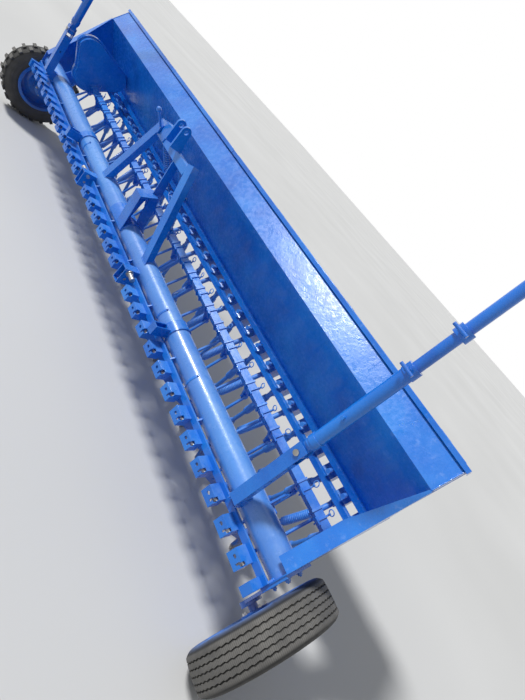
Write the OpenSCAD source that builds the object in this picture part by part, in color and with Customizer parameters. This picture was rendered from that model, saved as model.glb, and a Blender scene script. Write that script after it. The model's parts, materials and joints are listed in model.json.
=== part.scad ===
// Mounted grain seed drill: a round front tube on two land wheels carries the
// headstock, the coulter arms, the pressure shaft and a full-width seed hopper.
// X runs along the rows' bar, Y points to the rear of the machine, Z is up.

/* [Rows] */
// number of sown rows
rows = 32; // [24:2:40]
// distance from row to row
row_pitch = 125; // [110:5:150]
// frame width left outside the last row on each side
row_margin = 60; // [50:5:120]

/* [Main tube] */
// outside diameter of the front tube
tube_d = 127; // [100:1:160]
// wall of the front tube
tube_wall = 8; // [5:1:14]
// height of the front tube above the ground
tube_z = 548; // [500:4:620]

/* [Wheels] */
// outside diameter of a tyre
tyre_d = 600; // [540:5:680]
// section width of a tyre
tyre_w = 164; // [140:2:200]
// bead seat diameter of the wheel rim
rim_d = 330; // [310:2:350]
// free width between end plate and tyre
wheel_gap = 53; // [40:1:90]
// axle position behind the front tube
axle_behind = 50; // [0:5:120]
// number of zig-zag grooves in the near tyre's tread
grooves = 5; // [3:1:7]
// number of lugs on each side of the far tyre
lugs = 22; // [16:1:28]
// diameter of the stub axle
axle_d = 40; // [30:1:60]
// radial running clearance of the hub on its axle
hub_clear = 0.05; // [0.02:0.01:0.1]

/* [Hopper] */
// sheet thickness of the hopper
sheet = 3; // [2:0.5:5]
// fold line of the front wall, behind the tube
fold_y = 201; // [150:1:300]
// fold line of the front wall, above the ground
fold_z = 1131; // [1050:1:1200]
// top front edge of the hopper, behind the tube
rim_front_y = 285; // [220:1:360]
// top front edge of the hopper, above the ground
rim_front_z = 1263; // [1180:1:1350]
// depth of the hopper mouth
mouth_depth = 430; // [350:5:600]
// drop of the hopper mouth from front to rear
mouth_drop = 91; // [0:1:120]
// front edge of the hopper floor, behind the tube
floor_y = 420; // [380:5:480]
// height of the hopper floor
floor_z = 775; // [730:1:820]
// depth of the hopper floor
floor_depth = 120; // [90:5:200]
// play around the lids
lid_gap = 4; // [2:0.5:8]

/* [Coulters] */
// hole centre of an arm bracket, ahead of the tube
arm_ahead = 117; // [100:1:140]
// hole centre of an arm bracket, below the tube
arm_below = 71; // [50:1:90]
// lower end of the front row's seed tubes, behind the tube
front_row_y = 316; // [290:2:340]
// lower end of the rear row's seed tubes, behind the tube
rear_row_y = 545; // [520:5:570]
// metering outlet beside its row
outlet_shift = 80; // [0:1:90]
// diameter of a seed tube
seed_tube_d = 28; // [20:1:36]

/* [Pressure shaft] */
// side of the square pressure shaft
shaft_side = 40; // [30:1:50]
// shaft centre behind the tube
shaft_y = 152; // [130:1:200]
// shaft centre above the tube
shaft_up = 152; // [130:1:200]
// tilt of the shaft's faces
shaft_tilt = 38; // [0:1:45]

/* [Hitch] */
// rows from the middle out to a lower hitch stub
stub_rows = 3.5; // [2.5:1:5.5]
// width of the mast's rectangular tube
mast_w = 50; // [40:2:70]
// depth of the mast's rectangular tube
mast_d = 100; // [80:5:120]
// wall of the mast's rectangular tube
mast_wall = 5; // [3:1:8]
// diameter of a lower hitch pin
lower_pin_d = 28; // [22:0.1:36.6]
// diameter of the top link pin hole
top_hole_d = 25.9; // [19:0.1:32]
// half distance between the mast tops
mast_top_x = 212; // [150:1:300]
// height of the mast tops
mast_top_z = 1110; // [1040:1:1180]

/* [Markers] */
// marker arm position along the tube
marker_x = 1752; // [1600:1:1850]
// height of the marker's pivot
marker_pivot_z = 903; // [840:1:1000]
// length of the outer marker pipe
marker_pipe = 440; // [350:10:600]
// length of the inner marker pipe that shows
marker_reach = 1560; // [1000:10:1800]

/* [Hidden] */
$fn = 48;
half_w = rows * row_pitch / 2 + row_margin;
stub_x = stub_rows * row_pitch;
tube_r = tube_d / 2;
end_sheet = 5;
end_x = half_w + end_sheet;
axle_z = tyre_d / 2;
wheel_x = end_x + wheel_gap + tyre_w / 2;
rim_rear_y = rim_front_y + mouth_depth;
rim_rear_z = rim_front_z - mouth_drop;
lid_sheet = 3;
lid_pitch = atan2(mouth_drop, mouth_depth);
hinge_pin_r = 4;
knuckle_r = 8;
lid_up = lid_gap + lid_sheet + knuckle_r;
lid_back = 18;
lid_dir = [cos(lid_pitch), -sin(lid_pitch)];
// lid hinge axis in Y and Z
hinge_p = [rim_rear_y, rim_rear_z] + lid_dir * lid_back + left(lid_dir) * lid_up;
mouth_len = norm([mouth_depth, mouth_drop]);
lid_len = mouth_len + lid_back + 16;
// the machine's middle, front of the tyres to rear of the lid hinges, lies at Y = 0
frame_y = -(hinge_p[0] + knuckle_r + axle_behind - tyre_d / 2) / 2;
arm_y = -arm_ahead;
arm_z = tube_z - arm_below;
shaft_z = tube_z + shaft_up;
paint = [0.10, 0.36, 0.86];
steel = [0.62, 0.62, 0.60];
black = [0.07, 0.07, 0.07];

module on_frame() {
  translate([0, frame_y, 0])
    children();
}

module along_x(len, r) {
  rotate([0, 90, 0])
    cylinder(h = len, r = r, center = true);
}

module along_y(len, r) {
  rotate([90, 0, 0])
    cylinder(h = len, r = r, center = true);
}

// a plate with an outline in Y and Z, from x0 over a thickness
module side_plate(x0, thick, pts) {
  translate([x0, 0, 0])
    rotate([90, 0, 90])
      linear_extrude(thick)
        polygon(pts);
}

// a straight bar from one point in Y and Z to another, in the plane x
module yz_bar(x, wide, deep, a, b) {
  len = norm(b - a);
  translate([x, a[0], a[1]])
    rotate([atan2(b[1] - a[1], b[0] - a[0]), 0, 0])
      translate([-wide / 2, 0, -deep / 2])
        cube([wide, len, deep]);
}

// a straight round rod from one point in Y and Z to another, in the plane x
module yz_rod(x, r, a, b) {
  len = norm(b - a);
  translate([x, a[0], a[1]])
    rotate([atan2(b[1] - a[1], b[0] - a[0]), 0, 0])
      rotate([-90, 0, 0])
        cylinder(h = len, r = r);
}

function row_x(i) = (i - (rows - 1) / 2) * row_pitch;

// metering outlet of a row
function outlet_x(i) = row_x(i) + outlet_shift;

// a round bar between two points
module bar_between(a, b, r) {
  v = b - a;
  translate(a)
    rotate([0, acos(v[2] / norm(v)), atan2(v[1], v[0])])
      cylinder(h = norm(v), r = r);
}

module main_tube() {
  color(paint)
    on_frame()
      difference() {
        translate([0, 0, tube_z])
          along_x(2 * half_w, tube_r);
        translate([0, 0, tube_z])
          along_x(2 * half_w + 2, tube_r - tube_wall);
      }
}

// columns: y, z of the end plate's outline, from the tube's front round to the rear
end_outline = [
  [-tube_r - 14, tube_z - 75],
  [-tube_r - 14, tube_z + 60],
  [fold_y - 6, fold_z - 2],
  [fold_y + 30, fold_z - 2],
  [floor_y - 20, floor_z + 20],
  [floor_y + floor_depth + 20, floor_z + 20],
  [floor_y + floor_depth + 20, floor_z - 100],
  [tube_r + 60, tube_z - 75]];

module end_plate() {
  side_plate(half_w, end_sheet, end_outline);
}

module front_flange() {
  lo = [-tube_r - 14, tube_z + 60];
  hi = [fold_y - 6, fold_z - 2];
  len = norm(hi - lo);
  ang = atan2(hi[1] - lo[1], hi[0] - lo[0]);
  translate([half_w, lo[0], lo[1]])
    rotate([ang, 0, 0])
      translate([0, 0, -end_sheet])
        linear_extrude(end_sheet)
          polygon([[0, 0], [-60, 0], [-60, len * 0.45], [-6, len], [0, len]]);
}

module end_frame_near() {
  color(paint)
    on_frame() {
      union() {
        end_plate();
        front_flange();
      }
    }
}

module end_frame_far() {
  color(paint)
    on_frame()
      mirror([1, 0, 0]) {
        union() {
          end_plate();
          front_flange();
        }
      }
}

leg_thick = 12;
boss_thick = 24;
boss_r = 46;

module wheel_leg() {
  union() {
    side_plate(end_x, leg_thick, [
      [-tube_r - 10, tube_z + 50],
      [-tube_r - 10, tube_z - 75],
      [axle_behind - boss_r + 4, axle_z],
      [axle_behind + boss_r - 4, axle_z],
      [tube_r + 70, tube_z - 75],
      [tube_r + 40, tube_z + 50]]);
    translate([end_x, axle_behind, axle_z])
      rotate([0, 90, 0])
        cylinder(h = boss_thick, r = boss_r);
    translate([end_x, axle_behind, axle_z])
      rotate([0, 90, 0])
        cylinder(h = wheel_x + 66 - end_x, r = axle_d / 2);
  }
}

module wheel_leg_near() {
  color(paint)
    on_frame()
      wheel_leg();
}

module wheel_leg_far() {
  color(paint)
    on_frame()
      mirror([1, 0, 0])
        wheel_leg();
}

rim_r = rim_d / 2;
bead_half = 60;
flange_half = 65;
flange_r = rim_r + 18;

// columns: radius, offset along the axle
rim_profile = [
  [rim_r - 5, -flange_half],
  [flange_r, -flange_half],
  [flange_r, -bead_half],
  [rim_r, -bead_half],
  [rim_r, bead_half],
  [flange_r, bead_half],
  [flange_r, flange_half],
  [rim_r - 5, flange_half],
  [rim_r - 5, 32],
  [rim_r - 40, 26],
  [rim_r - 70, 12],
  [56, 12],
  [56, 50],
  [axle_d / 2 + hub_clear, 50],
  [axle_d / 2 + hub_clear, -88],
  [42, -88],
  [42, -30],
  [56, -30],
  [56, 6],
  [rim_r - 68, 6],
  [rim_r - 38, 20],
  [rim_r - 5, 26]];

module rim_body() {
  rotate([0, 90, 0])
    rotate_extrude($fn = 96)
      polygon(rim_profile);
}

module wheel_rim_near() {
  color(paint)
    on_frame()
      translate([wheel_x, axle_behind, axle_z])
        rim_body();
}

module wheel_rim_far() {
  color(paint)
    on_frame()
      translate([-wheel_x, axle_behind, axle_z])
        mirror([1, 0, 0])
          rim_body();
}

// half outline of a tyre from bead to crown; columns: radius, offset along the axle
function tyre_half(rr, rw) = [
  [rim_r, rw * 0.36],
  [rim_r, bead_half],
  [flange_r, bead_half],
  [flange_r + 2, flange_half],
  [flange_r + 22, rw * 0.94],
  [flange_r + 52, rw],
  [rr - 34, rw * 0.97],
  [rr - 14, rw * 0.85],
  [rr - 3, rw * 0.76],
  [rr, rw * 0.56]];

function air_half(rr, rw) = [
  [rim_r - 1, rw * 0.36],
  [flange_r + 4, rw * 0.50],
  [flange_r + 20, rw * 0.76],
  [flange_r + 50, rw * 0.86],
  [rr - 36, rw * 0.80],
  [rr - 22, rw * 0.50]];

function flip(pts) = [for (i = [len(pts) - 1 : -1 : 0]) [pts[i][0], -pts[i][1]]];

module tyre_body(rr, rw) {
  rotate([0, 90, 0])
    rotate_extrude($fn = 96)
      difference() {
        polygon(concat(tyre_half(rr, rw), flip(tyre_half(rr, rw))));
        polygon(concat(air_half(rr, rw), flip(air_half(rr, rw))));
      }
}

groove_pitch = 23;
groove_deep = 7;
groove_wide = 4;

// the near tyre's grooves run round the tread as plain slots
module tread_grooves() {
  for (k = [0 : grooves - 1])
    translate([(k - (grooves - 1) / 2) * groove_pitch, 0, 0])
      rotate([0, 90, 0])
        rotate_extrude($fn = 96)
          translate([tyre_d / 2 - groove_deep, -groove_wide / 2])
            square([groove_deep + 5, groove_wide]);
}

module tyre_near() {
  color(black)
    on_frame()
      translate([wheel_x, axle_behind, axle_z])
        difference() {
          tyre_body(tyre_d / 2, tyre_w / 2);
          tread_grooves();
        }
}

lug_tall = 14;
lug_wide = 26;

module far_lugs() {
  for (side = [-1, 1])
    for (k = [0 : lugs - 1])
      rotate([(k + (side + 1) / 4) * 360 / lugs, 0, 0])
        translate([side * tyre_w * 0.21 - tyre_w * 0.19, -lug_wide / 2, tyre_d / 2 - lug_tall - 6])
          cube([tyre_w * 0.38, lug_wide, lug_tall + 5]);
}

module tyre_far() {
  color(black)
    on_frame()
      translate([-wheel_x, axle_behind, axle_z])
        union() {
          tyre_body(tyre_d / 2 - lug_tall, tyre_w / 2);
          far_lugs();
        }
}

function unit(v) = v / norm(v);
function left(v) = [-v[1], v[0]];

// outline moved inwards by a width for each edge, the edge that starts at the point
function inset(pts, widths) = [
  for (i = [0 : len(pts) - 1])
    let (n = len(pts))
    let (n1 = left(unit(pts[i] - pts[(i + n - 1) % n])))
    let (n2 = left(unit(pts[(i + 1) % n] - pts[i])))
    let (w1 = widths[(i + n - 1) % n])
    let (w2 = widths[i])
    let (c = n1 * n2)
    pts[i] + (n1 * (w1 - w2 * c) + n2 * (w2 - w1 * c)) / (1 - c * c)];

// hopper cross-section; columns: y, z, anticlockwise from the floor's front edge
hopper_outline = [
  [floor_y, floor_z],
  [floor_y + floor_depth, floor_z],
  [rim_rear_y - 10, fold_z - 60],
  [rim_rear_y, rim_rear_z],
  [rim_front_y, rim_front_z],
  [fold_y, fold_z]];

module along_bar(len, pts) {
  translate([-len / 2, 0, 0])
    rotate([90, 0, 90])
      linear_extrude(len)
        polygon(pts);
}

module hopper_body() {
  color(paint)
    on_frame()
      difference() {
        along_bar(2 * half_w, hopper_outline);
        along_bar(2 * (half_w - sheet), inset(hopper_outline, [sheet, sheet, sheet, -40, sheet, sheet]));
        for (i = [0 : rows - 1])
          translate([outlet_x(i) - 20, floor_y + 40, floor_z - 1])
            cube([40, 44, sheet + 2]);
      }
}

module floor_flange() {
  color(paint)
    on_frame()
      difference() {
        union() {
          translate([-half_w, floor_y - 25, floor_z - 3])
            cube([2 * half_w, 25, 3]);
          translate([-half_w, floor_y - 25, floor_z - 28])
            cube([2 * half_w, 3, 28]);
        }
        for (i = [0 : rows - 1])
          translate([row_x(i), floor_y - 12, floor_z - 4])
            cylinder(h = 6, r = 4, $fn = 16);
      }
}

// hinge places along one lid
hinge_xs = [180, half_w / 2, half_w - 180];

module at_hinge() {
  translate([0, hinge_p[0], hinge_p[1]])
    rotate([-lid_pitch, 0, 0])
      children();
}

module lid_half() {
  at_hinge()
    difference() {
      union() {
        translate([lid_gap / 2, -lid_len, -knuckle_r - lid_sheet])
          cube([half_w + 10 - lid_gap / 2, lid_len - 12, lid_sheet]);
        translate([lid_gap / 2, -lid_len, -knuckle_r - 20])
          cube([half_w + 10 - lid_gap / 2, lid_sheet, 20]);
        translate([half_w + 10 - lid_sheet, -lid_len, -knuckle_r - 20])
          cube([lid_sheet, lid_len - 12, 20]);
        for (hx = hinge_xs) {
          translate([hx - 20, -20, -knuckle_r - lid_sheet])
            cube([40, 20, 6]);
          translate([hx, 0, 0])
            along_x(40, knuckle_r);
        }
      }
      for (hx = hinge_xs)
        translate([hx, 0, 0])
          along_x(44, hinge_pin_r + hub_clear);
    }
}

module lid_near() {
  color(paint)
    on_frame()
      lid_half();
}

module lid_far() {
  color(paint)
    on_frame()
      mirror([1, 0, 0])
        lid_half();
}

knuckle_w = 17;
ear_w = 12;

// a point on the rear wall's outer face, down from the rim by a share of the wall
function rear_wall(t) = hopper_outline[3] + (hopper_outline[2] - hopper_outline[3]) * t;

module lid_hinge_row() {
  for (hx = hinge_xs)
    translate([hx, 0, 0])
      union() {
        at_hinge()
          along_x(70, hinge_pin_r);
        for (sx = [-1, 1]) {
          at_hinge()
            translate([sx * 29.5, 0, 0])
              along_x(knuckle_w, knuckle_r);
          side_plate(sx * 29.5 - ear_w / 2, ear_w, [
            rear_wall(0.6),
            rear_wall(0.6) + [10, 0],
            hinge_p + [5, 1],
            hinge_p + [-5, 1],
            rear_wall(0.1)]);
        }
      }
}

module lid_hinges() {
  color(paint)
    on_frame() {
      lid_hinge_row();
      mirror([1, 0, 0])
        lid_hinge_row();
    }
}

rail_back = floor_y + 25;
rail_depth = 60;
rail_wide = 28;
rail_top = floor_z - 77;
rail_tall = 48;
shaft_r = 10;

knob_z = floor_z - 43;

module metering_housings() {
  color(paint)
    on_frame()
      for (i = [0 : rows - 1])
        difference() {
          union() {
            side_plate(outlet_x(i) - 36, 72, [
              [floor_y + 14, floor_z],
              [floor_y + 14, floor_z - 56],
              [rail_back - 32, rail_top],
              [rail_back - 32, rail_top - 6],
              [rail_back - 20, rail_top - 42],
              [rail_back + 40, rail_top - 42],
              [floor_y + floor_depth - 8, floor_z - 50],
              [floor_y + floor_depth - 8, floor_z]]);
            translate([outlet_x(i) + 6, floor_y, knob_z])
              along_y(60, 6);
            translate([outlet_x(i) + 6, floor_y - 34, knob_z])
              along_y(34, 12);
          }
          translate([outlet_x(i), floor_y + 60, floor_z - 46])
            along_x(80, shaft_r + hub_clear);
        }
}

module metering_shaft() {
  color(steel)
    on_frame()
      translate([0, floor_y + 60, floor_z - 46])
        along_x(2 * half_w, shaft_r);
}

module outlet_rail() {
  front = rail_back - rail_depth;
  color(paint)
    on_frame()
      difference() {
        translate([-half_w, front, rail_top - 30])
          cube([2 * half_w, rail_wide, 30]);
        translate([-half_w - 1, front + 4, rail_top - 31])
          cube([2 * half_w + 2, rail_wide + 1, 27]);
        for (i = [0 : rows - 1])
          translate([outlet_x(i) - 14, front + rail_wide - 9, rail_top - 12])
            cube([28, 20, 20]);
      }
}

tube_top = [rail_back - 6, rail_top - 51];
tube_knee = [rail_back - 61, rail_top - 124];
boot_z = 228;
sleeve_r = 20;
function foot_y(i) = i % 2 == 0 ? front_row_y : rear_row_y;
function tube_foot(i) = [row_x(i), foot_y(i), boot_z];
function knee(i) = i % 2 == 0
  ? [outlet_x(i) - 2, tube_knee[0], tube_knee[1]]
  : [outlet_x(i) - 15, tube_top[0] + 22, tube_knee[1]];
function share(a, b, t) = a + (b - a) * t;

// a seed tube: upper pipe with its collar, wide sleeve, thin lower pipe
module seed_tube(i) {
  top = [outlet_x(i), tube_top[0], tube_top[1]];
  union() {
    translate([top[0], top[1], top[2] - 14])
      cylinder(h = 23, r = seed_tube_d / 2 + 4);
    bar_between(top, knee(i), seed_tube_d / 2);
    bar_between(share(top, knee(i), 0.8), knee(i), seed_tube_d / 2 + 4);
    bar_between(knee(i), share(knee(i), tube_foot(i), 0.5), sleeve_r);
    bar_between(knee(i), tube_foot(i), seed_tube_d / 2 - 1.5);
  }
}

module seed_tube_row(first) {
  for (i = [first : 2 : rows - 1])
    seed_tube(i);
}

module seed_tubes_front() {
  color(black)
    on_frame()
      seed_tube_row(0);
}

module seed_tubes_rear() {
  color(black)
    on_frame()
      seed_tube_row(1);
}

arm_wide = 12;
arm_tall = 40;
arm_end_z = 110;
// a coulter's arm ends behind its seed tube
arm_end_back = 84;

module coulter(i) {
  x = row_x(i);
  yf = foot_y(i);
  boot_up = share(tube_foot(i), knee(i), 0.12);
  difference() {
    union() {
      yz_bar(x, arm_wide, arm_tall, [arm_y, arm_z], [yf + arm_end_back, arm_end_z]);
      translate([x, arm_y, arm_z])
        along_x(arm_wide + 12, 14);
      side_plate(x - 8, 16, [
        [yf - 16, 180],
        [yf + 29, 60],
        [yf + 69, 12],
        [yf + 84, 0],
        [yf + 139, 0],
        [yf + 154, 40],
        [yf + 124, 130],
        [yf + 34, 240],
        [yf - 8, 236]]);
      bar_between(share(tube_foot(i), knee(i), -0.1), boot_up, 19);
    }
    translate([x, arm_y, arm_z])
      along_x(60, 8);
    translate([x - 20, arm_y - 40, arm_z + bracket_high - 6])
      cube([40, 80, 40]);
    bar_between(tube_foot(i), knee(i), seed_tube_d / 2 - 1.5);
    translate([x, rod_foot(i)[0], rod_foot(i)[1]])
      along_x(60, 7);
  }
}

module coulters_front() {
  color(paint)
    on_frame()
      for (i = [0 : 2 : rows - 1])
        coulter(i);
}

module coulters_rear() {
  color(paint)
    on_frame()
      for (i = [1 : 2 : rows - 1])
        coulter(i);
}

bracket_w = 70;
bracket_low = -34;
bracket_high = 20;
bar_y = arm_y + 32;

module arm_bracket(x) {
  translate([x, arm_y, arm_z])
    difference() {
      translate([-bracket_w / 2, -24, bracket_low])
        cube([bracket_w, 56, bracket_high - bracket_low]);
      translate([-bracket_w / 2 + 5, -19, bracket_low - 1])
        cube([bracket_w - 10, 52, bracket_high - bracket_low - 3]);
      translate([-10, 0, -2])
        rotate([90, 0, 0])
          cylinder(h = 40, r = 8, $fn = 24);
      translate([14, -30, -14])
        cube([8, 20, 24]);
      translate([bracket_w / 2 - 16, -30, bracket_high - 20])
        cube([20, 24, 24]);
    }
}

function at_stub(i) = abs(abs(row_x(i)) - stub_x) < 1;

module arm_brackets() {
  color(paint)
    on_frame()
      for (i = [0 : rows - 1])
        if (!at_stub(i))
          arm_bracket(row_x(i));
}

module arm_pins() {
  color(steel)
    on_frame()
      for (i = [0 : rows - 1])
        translate([row_x(i), arm_y, arm_z])
          along_x(at_stub(i) ? mast_w : bracket_w - 10, 8);
}

hanger_thick = 8;
hanger_spans = 12;
hanger_step = (2 * half_w - hanger_thick) / hanger_spans;
hanger_xs = [for (k = [0 : hanger_spans]) -half_w + k * hanger_step];

module coulter_bar() {
  color(paint)
    on_frame()
      difference() {
        union() {
          translate([-half_w, bar_y, arm_z + 8])
            cube([2 * half_w, 10, 34]);
          for (sx = [-1, 1])
            translate([sx * (half_w - 19) - 19, arm_y - 26, arm_z - 38])
              cube([38, 60, 56]);
          for (hx = hanger_xs)
            side_plate(hx, hanger_thick, [
              [bar_y + 1, arm_z + 8],
              [-20, tube_z - tube_r + 5],
              [-tube_r + 8, tube_z - 10],
              [bar_y + 1, arm_z + 42]]);
        }
        translate([0, 0, tube_z])
          along_x(2 * half_w + 10, tube_r);
        for (sx = [-1, 1])
          translate([sx * stub_x - mast_w / 2 - 12, bar_y - 1, arm_z])
            cube([mast_w + 24, 12, 60]);
      }
}

module pressure_shaft() {
  color(paint)
    on_frame()
      translate([0, shaft_y, shaft_z])
        rotate([shaft_tilt, 0, 0])
          cube([2 * half_w, shaft_side, shaft_side], center = true);
}

rod_r = 7.5;
rod_side = arm_wide / 2 + 2 * rod_r + 5;

// lever tips: long levers press the rear row's arms, short ones the front row's
long_tip = [shaft_y + 103, shaft_z - 67];
short_tip = [shaft_y + 44, shaft_z - 78];
function lever_tip(i) = i % 2 == 0 ? short_tip : long_tip;
function rod_slope(i) = i % 2 == 0 ? 2.4 : 1.4;

module lever(i) {
  tip = lever_tip(i);
  x = row_x(i) - rod_side;
  difference() {
    union() {
      yz_bar(x, 10, 34, [shaft_y, shaft_z], tip);
      translate([x, tip[0], tip[1]])
        along_x(10, 20);
      translate([x, shaft_y, shaft_z])
        rotate([shaft_tilt, 0, 0])
          cube([10, shaft_side + 10, shaft_side + 10], center = true);
    }
    translate([x, shaft_y, shaft_z])
      rotate([shaft_tilt, 0, 0])
        cube([12, shaft_side, shaft_side], center = true);
    translate([x, tip[0], tip[1]])
      along_x(20, 7);
  }
}

module shaft_levers() {
  color(paint)
    on_frame()
      for (i = [0 : rows - 1])
        lever(i);
}

clamp_shift = 15;
clamp_band = 6;

// thin bands across the square shaft, each with a cross pin on its front face
module shaft_clamps() {
  color(paint)
    on_frame()
      for (i = [0 : rows - 1])
        translate([row_x(i) + clamp_shift, shaft_y, shaft_z])
          rotate([shaft_tilt, 0, 0])
            difference() {
              union() {
                cube([clamp_band, shaft_side + 12, shaft_side + 12], center = true);
                translate([0, -shaft_side / 2 - 2, shaft_side / 2 + 2])
                  along_x(34, 5);
              }
              cube([clamp_band + 40, shaft_side, shaft_side], center = true);
            }
}

// where a row's pressure rod meets its arm, down a fixed slope from the lever
function rod_foot(i) =
  let (tip = lever_tip(i))
  let (m = (arm_z - arm_end_z) / (foot_y(i) + arm_end_back - arm_y))
  let (k = rod_slope(i))
  let (y = (arm_z + m * arm_y - tip[1] + k * tip[0]) / (k + m))
  [y, tip[1] - k * (tip[0] - y)];

module pressure_rod(i) {
  foot = rod_foot(i);
  tip = lever_tip(i);
  side = row_x(i) - arm_wide / 2;
  union() {
    yz_rod(side - rod_r, rod_r, foot, tip);
    for (p = [foot, tip])
      translate([side - rod_r, p[0], p[1]])
        along_x(2 * rod_r, 12);
    translate([side - rod_r - 8, tip[0], tip[1]])
      along_x(28, 7);
    translate([side + 2, foot[0], foot[1]])
      along_x(28, 7);
  }
}

module pressure_rods() {
  color(steel)
    on_frame()
      for (i = [0 : rows - 1])
        pressure_rod(i);
}

mast_lean = atan2(stub_x - mast_top_x, mast_top_z - arm_z - 15);
mast_len = norm([stub_x - mast_top_x, mast_top_z - arm_z - 15]);
stub_front = -150;
leg_w = 54;
leg_d = 40;
leg_y = -30;
// lower hitch pin's axis, its shank, collar and journal
pin_p = [stub_front + 34, arm_z + 45];
shank_r = 11;
collar_r = 20;
collar_thick = 8;
journal_len = 47;

// leg of the mast as a leaning box, smaller all round by a wall
module leg_box(sx, wall) {
  translate([sx * stub_x, leg_y, arm_z + 15])
    rotate([0, -sx * mast_lean, 0])
      translate([-leg_w / 2 + wall, -leg_d / 2 + wall, -wall])
        cube([leg_w - 2 * wall, leg_d - 2 * wall, mast_len + (wall > 0 ? -4 : 0)]);
}

module headstock_leg(sx) {
  difference() {
    union() {
      translate([sx * stub_x - mast_w / 2, stub_front, arm_z - 35])
        cube([mast_w, 190, mast_d]);
      leg_box(sx, 0);
    }
    translate([sx * stub_x - mast_w / 2 + mast_wall, stub_front - 1, arm_z - 35 + mast_wall])
      cube([mast_w - 2 * mast_wall, 200, mast_d - 2 * mast_wall]);
    leg_box(sx, mast_wall);
    translate([sx * stub_x - mast_w / 2 + mast_wall, arm_y - 14, arm_z - 40])
      cube([mast_w - 2 * mast_wall, 200, 30]);
    translate([0, 0, tube_z])
      along_x(2 * half_w, tube_r);
    translate([sx * stub_x, arm_y, arm_z])
      along_x(60, 8);
    translate([sx * stub_x, pin_p[0], pin_p[1]])
      along_x(60, shank_r);
  }
}

module headstock_legs() {
  color(paint)
    on_frame() {
      headstock_leg(1);
      headstock_leg(-1);
    }
}

module hitch_pin(sx) {
  outer = stub_x + mast_w / 2;
  translate([0, pin_p[0], pin_p[1]])
    union() {
      translate([sx * (outer - mast_w / 2 - 4), 0, 0])
        along_x(mast_w + 8, shank_r);
      translate([sx * (outer + collar_thick / 2), 0, 0])
        along_x(collar_thick, collar_r);
      translate([sx * (outer + collar_thick + journal_len / 2), 0, 0])
        along_x(journal_len, lower_pin_d / 2);
    }
}

module hitch_pins() {
  color(steel)
    on_frame() {
      hitch_pin(1);
      hitch_pin(-1);
    }
}

ear_gap = 62;
ear_thick = 12;
ear_y = -66;
ear_r = 28;
ear_z = mast_top_z + 80;
beam_z = mast_top_z - 34;

module top_link_ears() {
  color(paint)
    on_frame()
      union() {
        for (sx = [-1, 1])
          difference() {
            union() {
              translate([sx * (ear_gap + ear_thick) / 2, ear_y, ear_z])
                along_x(ear_thick, ear_r);
              side_plate(sx * (ear_gap + ear_thick) / 2 - ear_thick / 2, ear_thick, [
                [ear_y - ear_r, ear_z],
                [ear_y - ear_r, beam_z + 6],
                [leg_y + 10, beam_z + 6],
                [ear_y + ear_r, ear_z]]);
            }
            translate([sx * (ear_gap + ear_thick) / 2, ear_y, ear_z])
              along_x(ear_thick + 2, top_hole_d / 2);
          }
        difference() {
          translate([-mast_top_x, leg_y - 17, beam_z - 40])
            cube([2 * mast_top_x, 34, 50]);
          for (sx = [-1, 1])
            leg_box(sx, 0);
          for (sx = [-1, 1])
            translate([sx * (mast_top_x + 100 - leg_w / 4), 0, beam_z])
              cube([200, 300, 300], center = true);
        }
      }
}

handle_x = -195;
handle_foot = [handle_x, leg_y - leg_d / 2 - 6, mast_top_z - 29];
handle_top = [handle_x, leg_y - 92, mast_top_z + 42];

// hand lever with its ball knob and the folded plate beside it
module lift_handle() {
  color(paint)
    on_frame()
      union() {
        bar_between(handle_foot, handle_top, 7);
        translate(handle_top)
          sphere(r = 15);
        translate([handle_x - 14, leg_y - leg_d / 2 - 12, mast_top_z - 62])
          cube([28, 12, 42]);
        translate([handle_x + 20, leg_y - 22, beam_z - 36])
          cube([70, 5, 96]);
        translate([handle_x + 20, leg_y - 22, beam_z + 55])
          cube([70, 54, 5]);
      }
}

saddle_w = 180;
shelf_x = 23;
shelf_w = 82;
shelf_low = -tube_r - 11;
shelf_top = -tube_r - 31;
shelf_z = tube_z + 236;

// folded front bracket, braces behind it and the curved saddle under both
module centre_tower() {
  color(paint)
    on_frame()
      difference() {
        union() {
          translate([0, 0, tube_z])
            along_x(saddle_w + 30, tube_r + 6);
          side_plate(shelf_x, shelf_w, [
            [-tube_r - 2, tube_z - 4],
            [shelf_low + 5, tube_z + 42],
            [shelf_top + 6, shelf_z - 8],
            [0, shelf_z + 33],
            [0, shelf_z + 39],
            [shelf_top, shelf_z],
            [shelf_low, tube_z + 42],
            [-tube_r - 9, tube_z - 4]]);
          side_plate(shelf_x + 4, 5, [
            [-tube_r - 4, tube_z],
            [-20, tube_z + 50],
            [-4, shelf_z + 35],
            [shelf_top + 2, shelf_z - 2],
            [shelf_low + 2, tube_z + 42]]);
          side_plate(56, 8, [
            [20, tube_z + 40],
            [75, tube_z + 10],
            [75, tube_z + 60],
            [leg_y + 30, beam_z - 36],
            [leg_y + 30, beam_z + 4],
            [leg_y - 10, beam_z + 4],
            [leg_y - 10, beam_z - 60],
            [0, tube_z + 120]]);
        }
        translate([0, 0, tube_z])
          along_x(2 * half_w, tube_r);
        translate([0, leg_y, beam_z - 15])
          cube([400, 34, 50], center = true);
        translate([-saddle_w, -tube_r - 20, tube_z - tube_r - 20])
          cube([2 * saddle_w, 2 * tube_r + 40, tube_r + 14]);
      }
}

post_y = -tube_r - 48;
post_foot = tube_z - 20;

post_w = 50;
post_half = post_w / 2;

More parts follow.
